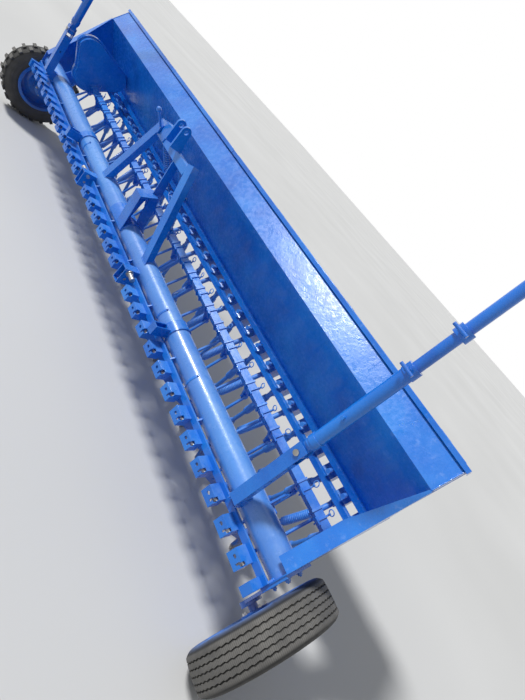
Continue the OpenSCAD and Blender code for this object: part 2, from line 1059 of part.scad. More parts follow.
module marker_post(sx) {
  difference() {
    union() {
      translate([sx * marker_x - post_half, post_y - post_half, post_foot])
        cube([post_w, post_w, marker_pivot_z + 34 - post_foot]);
      side_plate(sx * marker_x - post_half, post_w, [
        [post_y + post_half - 1, post_foot],
        [post_y + post_half - 1, tube_z + 40],
        [0, tube_z + 40],
        [0, post_foot]]);
    }
    translate([0, 0, tube_z])
      along_x(2 * half_w, tube_r);
    translate([sx * marker_x - post_half + 4, post_y - post_half + 4, post_foot - 1])
      cube([post_w - 8, post_w - 8, marker_pivot_z + 60 - post_foot]);
    translate([sx * marker_x - 100, post_y - post_half - 30, post_foot - 8])
      rotate([-35, 0, 0])
        cube([200, 40, 60]);
    translate([sx * marker_x - 100, post_y - post_half + 4, marker_pivot_z - 45])
      cube([200, post_w - 8, 100]);
    translate([sx * marker_x, post_y, marker_pivot_z])
      along_y(80, 12);
    translate([sx * marker_x, post_y, marker_pivot_z - 163])
      along_x(80, 6);
  }
}

module marker_posts() {
  color(paint)
    on_frame() {
      marker_post(1);
      marker_post(-1);
    }
}

// arm length from pivot to tip
arm_len = 50 + marker_pipe + marker_reach;
disc_out = 250;
spindle_r = 10;
pipe_r = 26;
screw_zs = [marker_pipe + 35, marker_pipe + 220];

module marker_arm(sx) {
  translate([sx * marker_x, post_y, marker_pivot_z]) {
    difference() {
      union() {
        along_y(34, 23);
        translate([-18, -17, 0])
          cube([36, 34, 60]);
        translate([0, 0, 50])
          cylinder(h = marker_pipe, r = pipe_r);
        translate([0, 0, 50 + marker_pipe])
          cylinder(h = marker_reach, r = pipe_r - 6);
        translate([sx > 0 ? -20 : -disc_out - 20, -20, arm_len - 10])
          cube([disc_out + 40, 40, 10]);
        translate([sx * disc_out, 0, arm_len - 80])
          cylinder(h = 80, r = spindle_r);
        for (z = screw_zs)
          translate([0, 0, z]) {
            translate([0, 0, -18])
              cylinder(h = 36, r = pipe_r + 3);
            translate([0, -pipe_r - 8, 0])
              along_y(40, 8);
            translate([0, -pipe_r - 28, 0])
              along_x(54, 6);
          }
        translate([0, -10, 215])
          along_y(60, 7);
        translate([0, 0, 62])
          cylinder(h = 26, r = pipe_r + 3);
      }
      along_y(80, 12 + hub_clear);
    }
  }
}

module marker_arm_near() {
  color(paint)
    on_frame()
      marker_arm(1);
}

module marker_arm_far() {
  color(paint)
    on_frame()
      marker_arm(-1);
}

module marker_disc(sx) {
  translate([sx * (marker_x + disc_out), post_y, marker_pivot_z + arm_len - 64])
    rotate_extrude($fn = 64)
      polygon([
        [spindle_r + hub_clear, -12],
        [28, -12],
        [28, 8],
        [90, 16],
        [150, 36],
        [148, 40],
        [89, 20],
        [28, 13],
        [28, 40],
        [spindle_r + hub_clear, 40]]);
}

module marker_disc_near() {
  color(steel)
    on_frame()
      marker_disc(1);
}

module marker_disc_far() {
  color(steel)
    on_frame()
      marker_disc(-1);
}

module marker_pins() {
  color(steel)
    on_frame()
      for (sx = [-1, 1])
        translate([sx * marker_x, post_y, marker_pivot_z])
          along_y(64, 12);
}

// a stand socket hangs between two arm brackets
socket_x = 7 * row_pitch;

module stand_socket(sx) {
  difference() {
    union() {
      translate([sx * socket_x, 0, tube_z])
        along_x(60, tube_r + 7);
      translate([sx * socket_x - 20, -tube_r - 90, tube_z - 27])
        cube([40, 110, 56]);
    }
    translate([0, 0, tube_z])
      along_x(2 * half_w, tube_r);
    translate([sx * socket_x - 14, -tube_r - 84, tube_z - 28])
      cube([28, 70, 60]);
  }
}

module stand_sockets() {
  color(paint)
    on_frame() {
      stand_socket(1);
      stand_socket(-1);
    }
}

lug_x = 1812;

// upright lug plates with a slot, one near each end of the tube
module tube_lugs() {
  color(paint)
    on_frame()
      for (sx = [-1, 1])
        difference() {
          union() {
            side_plate(sx * lug_x - 4, 8, [
              [tube_r - 60, tube_z + tube_r - 20],
              [tube_r + 6, tube_z + 10],
              [tube_r + 30, tube_z + 108],
              [tube_r - 12, tube_z + 118]]);
            translate([sx * (lug_x + 20), tube_r - 4, tube_z + 36])
              rotate([-40, 0, 0])
                cube([44, 46, 8], center = true);
          }
          translate([0, 0, tube_z])
            along_x(2 * half_w, tube_r);
          translate([sx * lug_x, tube_r + 4, tube_z + 88])
            along_x(30, 9);
        }
}

function arc(c, r, a0, a1) = [for (k = [0 : 8]) let (a = a0 + (a1 - a0) * k / 8) c + r * [cos(a), sin(a)]];

cover_x = -half_w + 406;
cover_thick = 30;
cover_low = [shaft_y - 67, shaft_z + 40];
cover_rear = [shaft_y + 110, shaft_z + 146];
cover_top = [shaft_y - 130, shaft_z + 190];

// outline of a gear cover, grown all round by a width
function cover_outline(g) = concat(
  arc(cover_low, 100 + g, 172, 300),
  arc(cover_rear, 80 + g, -45, 82),
  arc(cover_top, 100 + g, 80, 170));

module gear_cover(x0, g) {
  difference() {
    side_plate(x0, cover_thick, cover_outline(g));
    translate([x0, shaft_y, shaft_z])
      rotate([shaft_tilt, 0, 0])
        cube([4 * cover_thick, shaft_side + 6, shaft_side + 6], center = true);
  }
}

module gear_cover_inner() {
  color(paint)
    on_frame()
      gear_cover(cover_x + cover_thick, 0);
}

module gear_cover_outer() {
  color(paint)
    on_frame()
      gear_cover(cover_x, 12);
}

module drive_shaft() {
  color(steel)
    on_frame()
      translate([(cover_x - half_w) / 2, cover_low[0] - 20, cover_low[1] + 80])
        along_x(cover_x + half_w, 12);
}

main_tube();
end_frame_near();
end_frame_far();
wheel_leg_near();
wheel_leg_far();
wheel_rim_near();
wheel_rim_far();
tyre_near();
tyre_far();
hopper_body();
floor_flange();
lid_near();
lid_far();
lid_hinges();
metering_housings();
metering_shaft();
outlet_rail();
seed_tubes_front();
seed_tubes_rear();
coulters_front();
coulters_rear();
arm_brackets();
arm_pins();
coulter_bar();
pressure_shaft();
shaft_levers();
lift_handle();
tube_lugs();
shaft_clamps();
pressure_rods();
headstock_legs();
hitch_pins();
top_link_ears();
centre_tower();
marker_posts();
marker_arm_near();
marker_arm_far();
marker_disc_near();
marker_disc_far();
marker_pins();
stand_sockets();
gear_cover_inner();
gear_cover_outer();
drive_shaft();
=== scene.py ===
import json
import math
import random

import bmesh
import bpy
from mathutils import Matrix, Vector


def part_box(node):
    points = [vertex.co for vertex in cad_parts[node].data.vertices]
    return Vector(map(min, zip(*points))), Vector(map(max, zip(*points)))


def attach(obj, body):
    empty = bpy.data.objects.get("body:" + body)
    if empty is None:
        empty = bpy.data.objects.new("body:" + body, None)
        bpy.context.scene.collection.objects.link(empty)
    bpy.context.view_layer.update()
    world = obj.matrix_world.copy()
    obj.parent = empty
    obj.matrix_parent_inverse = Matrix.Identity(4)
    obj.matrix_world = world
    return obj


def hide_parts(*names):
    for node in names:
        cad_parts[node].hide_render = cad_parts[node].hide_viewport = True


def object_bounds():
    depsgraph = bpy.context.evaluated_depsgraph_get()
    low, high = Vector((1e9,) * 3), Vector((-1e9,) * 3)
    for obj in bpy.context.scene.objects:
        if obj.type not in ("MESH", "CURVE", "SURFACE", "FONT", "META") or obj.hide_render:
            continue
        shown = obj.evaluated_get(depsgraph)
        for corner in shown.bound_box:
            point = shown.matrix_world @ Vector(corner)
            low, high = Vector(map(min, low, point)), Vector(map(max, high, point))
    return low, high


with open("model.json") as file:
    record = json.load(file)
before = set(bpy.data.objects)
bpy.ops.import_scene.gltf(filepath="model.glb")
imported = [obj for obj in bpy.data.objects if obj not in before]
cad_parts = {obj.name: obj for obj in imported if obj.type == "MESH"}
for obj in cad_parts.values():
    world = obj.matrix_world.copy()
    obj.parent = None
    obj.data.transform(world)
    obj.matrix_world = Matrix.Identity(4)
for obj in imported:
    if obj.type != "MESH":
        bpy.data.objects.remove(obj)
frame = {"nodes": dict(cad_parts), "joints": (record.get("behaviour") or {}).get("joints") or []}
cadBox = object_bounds()
random.seed(12)

# The seed drill of the photograph, seen from its front right corner by a tilted camera

shot = {
    "eye": (2.088, -1.668926, 1.588567),    # metres, just over the marker post
    "aim": (0.944, 0.342362, 0.6425),
    "roll": 48.17,                          # degrees that the picture is tilted
    "focal": 417.6,                         # pixels, of a picture 700 high
    "height": 700,
    "sensor": 36.0,
    "clip": (0.02, 400),                    # metres, the nearest and the furthest that shows
}


def makeCamera():
    eye, aim = Vector(shot["eye"]), Vector(shot["aim"])
    ahead = (aim - eye).normalized()
    level = ahead.cross(Vector((0, 0, 1))).normalized()
    upright = level.cross(ahead)
    roll = math.radians(shot["roll"])
    right = level * math.cos(roll) + upright * math.sin(roll)
    up = right.cross(ahead)
    data = bpy.data.cameras.new("camera")
    data.sensor_fit = "AUTO"
    data.sensor_width = shot["sensor"]
    data.lens = shot["focal"] * shot["sensor"] / shot["height"]
    data.clip_start, data.clip_end = shot["clip"]
    camera = bpy.data.objects.new("camera", data)
    turn = Matrix((right, up, -ahead)).transposed()
    camera.matrix_world = Matrix.Translation(eye) @ turn.to_4x4()
    bpy.context.collection.objects.link(camera)
    bpy.context.scene.camera = camera


makeCamera()
print("camera done")

# Where things are. spot() takes millimetres: Y from the main tube's axis, Z from the ground

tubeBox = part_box("main_tube")
tubeAxis = (tubeBox[0] + tubeBox[1]) / 2                # metres
tubeRadius = (tubeBox[1].z - tubeBox[0].z) * 500        # millimetres
tubeHeight = tubeAxis.z * 1000
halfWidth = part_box("hopper_body")[1].x * 1000
rows = {"count": 32, "pitch": 125}


def spot(x, y, z):
    return Vector((x / 1000, y / 1000 + tubeAxis.y, z / 1000))


def rowX(row):
    return (row - (rows["count"] - 1) / 2) * rows["pitch"]


def jointSpot(name):
    joint = [j for j in frame["joints"] if j["name"] == name][0]
    return Vector(joint["pos_m"])


wheels = {"near": jointSpot("wheel_near_spin"), "far": jointSpot("wheel_far_spin")}
outwards = {"near": 1, "far": -1}
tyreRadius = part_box("tyre_near")[1].z - wheels["near"].z

# Node helpers for the materials


def newMaterial(name):
    mat = bpy.data.materials.new(name)
    mat.use_nodes = True
    return mat, mat.node_tree, mat.node_tree.nodes["Principled BSDF"]


def feed(tree, value, socket):
    # a number or a colour is set on the socket, and a node's output is linked to it
    if isinstance(value, (int, float, tuple)):
        socket.default_value = value
    else:
        tree.links.new(value, socket)


def placeOn(tree):
    return tree.nodes.new("ShaderNodeTexCoord").outputs["Object"]


def splitOn(tree, vector):
    parts = tree.nodes.new("ShaderNodeSeparateXYZ")
    tree.links.new(vector, parts.inputs["Vector"])
    return parts.outputs


def noiseOn(tree, scale, detail=3.0, rough=0.5, stretch=None):
    place = placeOn(tree)
    noise = tree.nodes.new("ShaderNodeTexNoise")
    for name, value in (("Scale", scale), ("Detail", detail), ("Roughness", rough)):
        noise.inputs[name].default_value = value
    if stretch:
        mapping = tree.nodes.new("ShaderNodeMapping")
        mapping.inputs["Scale"].default_value = stretch
        tree.links.new(place, mapping.inputs["Vector"])
        place = mapping.outputs["Vector"]
    tree.links.new(place, noise.inputs["Vector"])
    return noise.outputs["Fac"]


def rampOn(tree, source, stops):
    ramp = tree.nodes.new("ShaderNodeValToRGB")
    marks = ramp.color_ramp.elements
    marks[0].position, marks[0].color = stops[0]
    marks[1].position, marks[1].color = stops[-1]
    for place, colour in stops[1:-1]:
        marks.new(place).color = colour
    tree.links.new(source, ramp.inputs["Fac"])
    return ramp.outputs["Color"]


def grey(value):
    return (value, value, value, 1)


def mathOn(tree, kind, first, second=0):
    worker = tree.nodes.new("ShaderNodeMath")
    worker.operation = kind
    feed(tree, first, worker.inputs[0])
    feed(tree, second, worker.inputs[1])
    return worker.outputs["Value"]


def productOn(tree, first, *others):
    for other in others:
        first = mathOn(tree, "MULTIPLY", first, other)
    return first


def mixOn(tree, share, first, second):
    mix = tree.nodes.new("ShaderNodeMix")
    mix.data_type = "RGBA"
    tree.links.new(share, mix.inputs["Factor"])
    feed(tree, first, mix.inputs["A"])
    feed(tree, second, mix.inputs["B"])
    return mix.outputs["Result"]


def fadeOn(tree, source, low, high):
    # 0 at low and 1 at high, with soft ends; low may be the larger number
    fade = tree.nodes.new("ShaderNodeMapRange")
    fade.interpolation_type = "SMOOTHSTEP"
    fade.inputs["From Min"].default_value = low
    fade.inputs["From Max"].default_value = high
    tree.links.new(source, fade.inputs["Value"])
    return fade.outputs["Result"]


def roundEdges(tree, shader, radius, bumps):
    # rounded edges under a stack of bumps: (height, strength, distance)
    normal = None
    if radius:
        bevel = tree.nodes.new("ShaderNodeBevel")
        bevel.samples = 4
        bevel.inputs["Radius"].default_value = radius
        normal = bevel.outputs["Normal"]
    for height, strength, distance in bumps:
        bump = tree.nodes.new("ShaderNodeBump")
        bump.inputs["Strength"].default_value = strength
        bump.inputs["Distance"].default_value = distance
        tree.links.new(height, bump.inputs["Height"])
        if normal:
            tree.links.new(normal, bump.inputs["Normal"])
        normal = bump.outputs["Normal"]
    tree.links.new(normal, shader.inputs["Normal"])


# Blue paint. A noise is given as scale, detail and roughness, and a bump as strength and distance

paintLook = {
    "tones": [(0.001, 0.098, 0.49, 1), (0.002, 0.155, 0.65, 1), (0.012, 0.235, 0.78, 1)],
    "toneStops": (0.30, 0.50, 0.78),
    "clouds": (3.2, 5, 0.55),
    "glareSpeck": (0.30, 0.48, 0.92, 1),         # pale specks: painted sun glare on the rough paint
    "glareSpecks": (34, 6, 0.7),
    "glareSpeckFade": (0.56, 0.70),
    "dustAndSunlit": (0.24, 0.43, 0.72, 1),          # pale blue on what faces up: fine dust, and partly painted sunlight on the tops
    "upFacingFade": (0.25, 0.95),
    "topPatches": (11, 6, 0.7),
    "topPatchFade": (0.30, 0.75),
    "soil": (0.21, 0.165, 0.115, 1),        # clings in patches to what is low
    "soilHeight": (0.42, 0.02),             # metres above the ground
    "patches": (17, 6, 0.65),
    "patchFade": (0.36, 0.66),
    "soilRough": 0.8,
    "bare": (0.33, 0.31, 0.28, 1),          # steel where the shoes run in the ground
    "bareHeight": (0.035, 0.0),
    "bareEdge": (26, 5, 0.7),
    "bareRagged": 0.09,
    "bareMetal": 0.8,
    "grain": (42, 4, 0.6),
    "grainStops": (0.3, 0.72),
    "coat": 0.35,
    "coatRough": 0.08,
    "edge": 0.0016,                         # rounding of folded and cut edges
    "waves": (9, 2),
    "waveBump": (0.35, 0.004),
    "runs": (62, 4, 0.7),
    "runBump": (0.30, 0.0016),
    "peel": (170, 3, 0.6),
    "peelBump": (0.25, 0.0012),
}


def bluePaint(name, lift=0.0, streaks=(1, 1, 1), soil=0.55, glareSpeckle=0.0, dustAndSunlit=0.2,
              rough=(0.17, 0.36), sunlitDustyShare=0.0, worn=0.0):
    look = paintLook
    mat, tree, shader = newMaterial(name)
    # sunlitDustyShare moves every tone towards the same pale blue: a lighter copy of the paint,
    # partly dust and partly painted sunlight
    tones = [[c + (f - c) * sunlitDustyShare for c, f in zip(tone, look["dustAndSunlit"])] for tone in look["tones"]]
    deep, body, thin = look["toneStops"]
    tone = rampOn(tree, noiseOn(tree, *look["clouds"], streaks),
                  [(deep, tones[0]), (body - lift, tones[1]), (thin - lift, tones[2])])
    # painted glare: pale specks mixed into the colour, as sun glare on rough paint
    if glareSpeckle:
        glareSpecks = fadeOn(tree, noiseOn(tree, *look["glareSpecks"]), *look["glareSpeckFade"])
        tone = mixOn(tree, productOn(tree, glareSpecks, glareSpeckle), tone, look["glareSpeck"])
    # what faces up is lightened towards the pale blue: fine dust, and partly a painted sunlit top
    facing = tree.nodes.new("ShaderNodeNewGeometry").outputs["Normal"]
    upFacing = fadeOn(tree, splitOn(tree, facing)["Z"], *look["upFacingFade"])
    topPatch = fadeOn(tree, noiseOn(tree, *look["topPatches"]), *look["topPatchFade"])
    tone = mixOn(tree, productOn(tree, upFacing, topPatch, dustAndSunlit), tone, look["dustAndSunlit"])
    low = fadeOn(tree, splitOn(tree, placeOn(tree))["Z"], *look["soilHeight"])
    patch = fadeOn(tree, noiseOn(tree, *look["patches"]), *look["patchFade"])
    soiled = productOn(tree, low, patch, soil)
    tone = mixOn(tree, soiled, tone, look["soil"])
    if worn:
        ragged = productOn(tree, noiseOn(tree, *look["bareEdge"]), look["bareRagged"])
        height = mathOn(tree, "SUBTRACT", splitOn(tree, placeOn(tree))["Z"], ragged)
        bare = productOn(tree, fadeOn(tree, height, *look["bareHeight"]), worn)
        tone = mixOn(tree, bare, tone, look["bare"])
        tree.links.new(productOn(tree, bare, look["bareMetal"]), shader.inputs["Metallic"])
    tree.links.new(tone, shader.inputs["Base Color"])
    shine = rampOn(tree, noiseOn(tree, *look["grain"]),
                   [(stop, grey(value)) for stop, value in zip(look["grainStops"], rough)])
    tree.links.new(mixOn(tree, soiled, shine, grey(look["soilRough"])), shader.inputs["Roughness"])
    shader.inputs["Coat Weight"].default_value = look["coat"]
    shader.inputs["Coat Roughness"].default_value = look["coatRough"]
    strength, distance = look["runBump"]
    roundEdges(tree, shader, look["edge"], [
        (noiseOn(tree, *look["waves"]), *look["waveBump"]),
        (noiseOn(tree, *look["runs"]), strength + glareSpeckle, distance),
        (noiseOn(tree, *look["peel"]), *look["peelBump"])])
    return mat


steelLook = {
    "tones": [(0.3, (0.30, 0.29, 0.28, 1)), (0.7, (0.60, 0.59, 0.57, 1))],
    "clouds": (30, 4),
    "rust": (0.19, 0.085, 0.035, 1),
    "rustRough": 0.85,
    "stains": (55, 6, 0.7),
    "stainFade": (0.50, 0.70),
    "metal": 0.92,
    "edge": 0.0008,
    "grain": (300, 2),
    "grainBump": (0.2, 0.0008),
}


def wornSteel(name, rust=0.35, rough=0.36):
    look = steelLook
    mat, tree, shader = newMaterial(name)
    tone = rampOn(tree, noiseOn(tree, *look["clouds"]), look["tones"])
    stain = fadeOn(tree, noiseOn(tree, *look["stains"]), *look["stainFade"])
    share = productOn(tree, stain, rust)
    dull = mixOn(tree, share, grey(rough), grey(look["rustRough"]))
    tree.links.new(mixOn(tree, share, tone, look["rust"]), shader.inputs["Base Color"])
    tree.links.new(dull, shader.inputs["Roughness"])
    tree.links.new(mathOn(tree, "SUBTRACT", look["metal"], share), shader.inputs["Metallic"])
    roundEdges(tree, shader, look["edge"], [(noiseOn(tree, *look["grain"]), *look["grainBump"])])
    return mat


rubberLook = {
    "black": (0.020, 0.020, 0.020, 1),      # down in the grooves
    "tones": [(0.3, (0.085, 0.083, 0.080, 1)), (0.75, (0.185, 0.178, 0.165, 1))],
    "clouds": (15, 6, 0.6),
    "treadFade": (0.012, 0.003),            # metres under the crown
    "sideFade": (0.012, 0.030),
    "sideDust": 0.42,
    "sipes": 264,                           # fine cuts round the ribs, painted darker as shade in the cuts
    "sipeFade": (0.85, 1.25),
    "sipeRagged": 0.5,
    "sipeShade": 0.45,
    "spray": (0.10, 0.25, 0.66, 1),         # paint blown on to the inner side wall
    "sprayInward": (-0.056, -0.076),        # metres from the tyre's middle
    "sprayRing": (0.292, 0.242),            # metres from the axle
    "sprayPatches": (6, 4, 0.6),
    "sprayFade": (0.25, 0.62),
    "grain": (60, 4, 0.6),
    "rough": [(0.3, grey(0.72)), (0.7, grey(0.95))],
    "pores": (230, 4, 0.7),
    "poreBump": (0.5, 0.0015),
    "cutBump": (0.4, 0.002),
}


def tyreRubber(name, centre, ribbed=False):
    # dusty on the tread and dark below it; only the ribbed tyre has sipes, painted darker as shade
    # in the cuts, and spray
    look = rubberLook
    mat, tree, shader = newMaterial(name)
    away = tree.nodes.new("ShaderNodeVectorMath")
    away.operation = "SUBTRACT"
    away.inputs[1].default_value = centre
    tree.links.new(placeOn(tree), away.inputs[0])
    parts = splitOn(tree, away.outputs["Vector"])
    squares = [productOn(tree, parts[axis], parts[axis]) for axis in ("Y", "Z")]
    reach = mathOn(tree, "SQRT", mathOn(tree, "ADD", *squares))
    cloud = noiseOn(tree, *look["clouds"])
    tone = rampOn(tree, cloud, look["tones"])
    tread, side = [fadeOn(tree, reach, *[tyreRadius - depth for depth in look[fade]])
                   for fade in ("treadFade", "sideFade")]
    dusty = mathOn(tree, "MAXIMUM", tread, productOn(tree, side, look["sideDust"]))
    height = cloud
    if ribbed:
        angle = mathOn(tree, "ARCTAN2", parts["Z"], parts["Y"])
        wave = mathOn(tree, "SINE", productOn(tree, angle, look["sipes"]))
        ragged = mathOn(tree, "ADD", wave, productOn(tree, cloud, look["sipeRagged"]))
        cuts = productOn(tree, fadeOn(tree, ragged, *look["sipeFade"]), tread)
        # painted shade: the cuts are darker than the tread around them
        dusty = mathOn(tree, "SUBTRACT", dusty, productOn(tree, cuts, look["sipeShade"]))
        height = mathOn(tree, "SUBTRACT", cloud, cuts)
    tone = mixOn(tree, dusty, look["black"], tone)
    if ribbed:
        inward = fadeOn(tree, parts["X"], *look["sprayInward"])
        ring = fadeOn(tree, reach, *look["sprayRing"])
        broken = fadeOn(tree, noiseOn(tree, *look["sprayPatches"]), *look["sprayFade"])
        tone = mixOn(tree, productOn(tree, inward, ring, broken), tone, look["spray"])
    tree.links.new(tone, shader.inputs["Base Color"])
    grain = noiseOn(tree, *look["grain"])
    tree.links.new(rampOn(tree, grain, look["rough"]), shader.inputs["Roughness"])
    roundEdges(tree, shader, 0, [(noiseOn(tree, *look["pores"]), *look["poreBump"]),
                                 (height, *look["cutBump"])])
    return mat


floorLook = {
    "tones": [(0.3, (0.60, 0.60, 0.59, 1)), (0.7, (0.66, 0.66, 0.65, 1))],
    "clouds": (0.35, 2),
    "rough": 0.8,
}


def paleFloor(name):
    mat, tree, shader = newMaterial(name)
    tone = rampOn(tree, noiseOn(tree, *floorLook["clouds"]), floorLook["tones"])
    tree.links.new(tone, shader.inputs["Base Color"])
    shader.inputs["Roughness"].default_value = floorLook["rough"]
    return mat


finishes = {
    "sheetPaint": bluePaint("sheetPaint", lift=0.03, glareSpeckle=0.25, soil=0.0, rough=(0.15, 0.40)),
    "framePaint": bluePaint("framePaint", lift=0.04, streaks=(0.5, 1, 1), dustAndSunlit=0.3),
    # pipePaint and tubePaint are lighter copies of the blue: partly dust, partly painted sunlight
    # on the main tube and the seed tubes
    "pipePaint": bluePaint("pipePaint", lift=0.08, streaks=(0.35, 1, 1), glareSpeckle=0.2, dustAndSunlit=0.5,
                           rough=(0.22, 0.42), sunlitDustyShare=0.30),
    "armPaint": bluePaint("armPaint", lift=0.04, soil=0.85, dustAndSunlit=0.45, rough=(0.22, 0.48),
                          worn=0.9),
    "tubePaint": bluePaint("tubePaint", lift=0.10, soil=0.5, glareSpeckle=0.2, dustAndSunlit=0.6,
                           rough=(0.25, 0.5), sunlitDustyShare=0.15),
    "steel": wornSteel("wornSteel"),
    "brightSteel": wornSteel("brightSteel", rust=0.12, rough=0.28),
    "nearRubber": tyreRubber("nearRubber", wheels["near"], ribbed=True),
    "farRubber": tyreRubber("farRubber", wheels["far"]),
    "floor": paleFloor("paleFloor"),
}
nodeFinishes = {                            # framePaint where a node isn't named
    "sheetPaint": ["hopper_body", "lid_near", "lid_far", "gear_cover_inner", "gear_cover_outer",
                   "end_frame_near", "end_frame_far", "floor_flange"],
    "armPaint": ["coulters_front", "coulters_rear", "arm_brackets", "coulter_bar", "shaft_levers"],
    "tubePaint": ["seed_tubes_front", "seed_tubes_rear", "pressure_rods", "metering_housings"],
    "pipePaint": ["main_tube"],
    "steel": ["metering_shaft", "hitch_pins", "marker_pins", "arm_pins", "drive_shaft"],
    "nearRubber": ["tyre_near"],
    "farRubber": ["tyre_far"],
}


def dressNodes():
    wanted = {name: finish for finish, names in nodeFinishes.items() for name in names}
    for name, node in frame["nodes"].items():
        node.data.materials.clear()
        node.data.materials.append(finishes[wanted.get(name, "framePaint")])


dressNodes()
print("materials done")

# Mesh helpers for the pieces: each adds to one bmesh, and placePiece makes the object


def placePiece(name, shape, finish, body, crease=35):
    bmesh.ops.recalc_face_normals(shape, faces=shape.faces)
    mesh = bpy.data.meshes.new(name)
    shape.to_mesh(mesh)
    shape.free()
    mesh.materials.append(finishes[finish])
    for face in mesh.polygons:
        face.use_smooth = True
    mesh.set_sharp_from_angle(angle=math.radians(crease))
    piece = bpy.data.objects.new(name, mesh)
    bpy.context.collection.objects.link(piece)
    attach(piece, body)
    return piece


def joinRings(shape, rings, closed=False):
    pairs = list(zip(rings, rings[1:])) + ([(rings[-1], rings[0])] if closed else [])
    for first, second in pairs:
        for k in range(len(first)):
            n = (k + 1) % len(first)
            shape.faces.new((first[k], first[n], second[n], second[k]))
    if not closed:
        shape.faces.new(rings[0][::-1])
        shape.faces.new(rings[-1])


def ringAround(middle, first, second, size, steps, turn=0.0):
    # even points on a circle through two directions
    angles = [math.tau * k / steps + turn for k in range(steps)]
    return [middle + (first * math.cos(a) + second * math.sin(a)) * size for a in angles]


def addPipe(shape, path, radius, sides=8, closed=False, up=None):
    # a round bar along the points; radius is one number or one for each point
    rings, side = [], up
    for i, point in enumerate(path):
        before = path[i - 1] if i or closed else point
        after = path[(i + 1) % len(path)] if i + 1 < len(path) or closed else point
        along = (after - before).normalized()
        lead = up or side or along.orthogonal()
        side = (lead - along * lead.dot(along)).normalized()
        size = radius[i] if isinstance(radius, list) else radius
        ring = ringAround(point, side, along.cross(side), size, sides, turn=math.pi / sides)
        rings.append([shape.verts.new(p) for p in ring])
    joinRings(shape, rings, closed)


def addStack(shape, place, axis, steps, sides=24, turn=0.0):
    # a turned or hexagonal solid: (height, radius) steps along the axis
    axis = axis.normalized()
    side = axis.orthogonal().normalized()
    rings = []
    for height, size in steps:
        ring = ringAround(place + axis * height, side, axis.cross(side), size, sides, turn)
        rings.append([shape.verts.new(p) for p in ring])
    joinRings(shape, rings)


# A bolt's steps of height and radius. Heights are in widths across flats, the washer's in metres,
# and radii are in half widths across corners, the washer's in widths across flats
boltShape = {
    "washer": [(-0.0006, 0.88), (0.0016, 0.88), (0.0022, 0.82)],
    "head": [(0.0, 1.0), (0.56, 1.0), (0.63, 0.9)],
    "thread": [(0.5, 0.5), (0.86, 0.5), (0.92, 0.42)],
}


def addBolt(shape, place, axis, across, washer=True):
    # washer, six-sided head with its chamfer, and the end of the thread
    corner, turn = across / 2 / math.cos(math.pi / 6), random.uniform(0, 1)
    if washer:
        steps = [(height, across * size) for height, size in boltShape["washer"]]
        addStack(shape, place, axis, steps)
    head, thread = [[(across * height, corner * size) for height, size in boltShape[part]]
                    for part in ("head", "thread")]
    addStack(shape, place, axis, head, sides=6, turn=turn)
    addStack(shape, place, axis, thread, sides=14)


def surfaceAt(name, start, toward):
    # where a ray first meets a CAD node, or None where it misses
    hit, place, normal, face = frame["nodes"][name].ray_cast(start, toward)
    return place if hit else None


def onWheel(centre, along, reach, angle):
    # a point beside the wheel's middle, turned about the axle
    return centre + Vector((along, reach * math.cos(angle), reach * math.sin(angle)))


# The near tyre: five zig-zag grooves round the tread. Millimetres, as (offset, radius or depth)

nearTyre = {
    "zigs": 66,
    "zigDepth": 1.9,                        # sideways
    "zigShape": (-1.0, -0.45, 0.25, 1.0),   # steps of one zig, which jumps back at its end
    "grooves": {-45: 5.0, -22.5: 4.2, 0: 4.2, 22.5: 4.2, 45: 5.0},  # middle and width
    "grooveLip": 0.9,
    "grooveSteps": [(-1.0, 1.0), (-0.78, 7.2), (-0.5, 8.0), (0.5, 8.0), (0.78, 7.2), (1.0, 1.0)],
    "crownDrop": 0.0006,
    "shoulderFrom": 40,
    "shoulderDrop": 0.0040,
    "shoulder": [(56, 0), (62, 0.6)],
    "wall": [(66.5, 290.5), (70.5, 286), (76.4, 277), (79.8, 266), (82, 248), (82, 233),
             (80.5, 218), (77, 204), (71, 192), (66, 187), (62, 184), (60, 183), (60, 165),
             (29.5, 165)],
    "inside": [(41, 187), (62, 203), (70.5, 233), (65.5, 264), (41, 278)],
}


def crownRadius(offset):
    away = max(0.0, abs(offset) - nearTyre["shoulderFrom"])
    drop = nearTyre["crownDrop"] * offset * offset + nearTyre["shoulderDrop"] * away * away
    return tyreRadius * 1000 - drop


def tyreSection(shift):
    tread = []
    for middle, wide in nearTyre["grooves"].items():
        for across, depth in nearTyre["grooveSteps"]:
            offset = middle + shift + across * (wide / 2 + nearTyre["grooveLip"])
            tread.append((offset, crownRadius(offset) - depth))
    side = [(offset, crownRadius(offset) - depth) for offset, depth in nearTyre["shoulder"]]
    side += nearTyre["wall"] + nearTyre["inside"]
    return [(-offset, radius) for offset, radius in reversed(side)] + tread + side


def makeNearTyre():
    shape = bmesh.new()
    rings = []
    steps = nearTyre["zigs"] * len(nearTyre["zigShape"])
    for k in range(steps):
        shift = nearTyre["zigDepth"] * nearTyre["zigShape"][k % len(nearTyre["zigShape"])]
        angle = math.tau * k / steps
        rings.append([shape.verts.new(onWheel(wheels["near"], offset / 1000, radius / 1000, angle))
                      for offset, radius in tyreSection(shift)])
    joinRings(shape, rings, closed=True)
    tyre = placePiece("ribbed_tyre", shape, "nearRubber", "wheel_near", crease=32)
    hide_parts("tyre_near")


makeNearTyre()
print("near tyre done")

# Wheel nuts, hub caps, bearing flanges and valves on both wheels. Metres from a wheel's middle

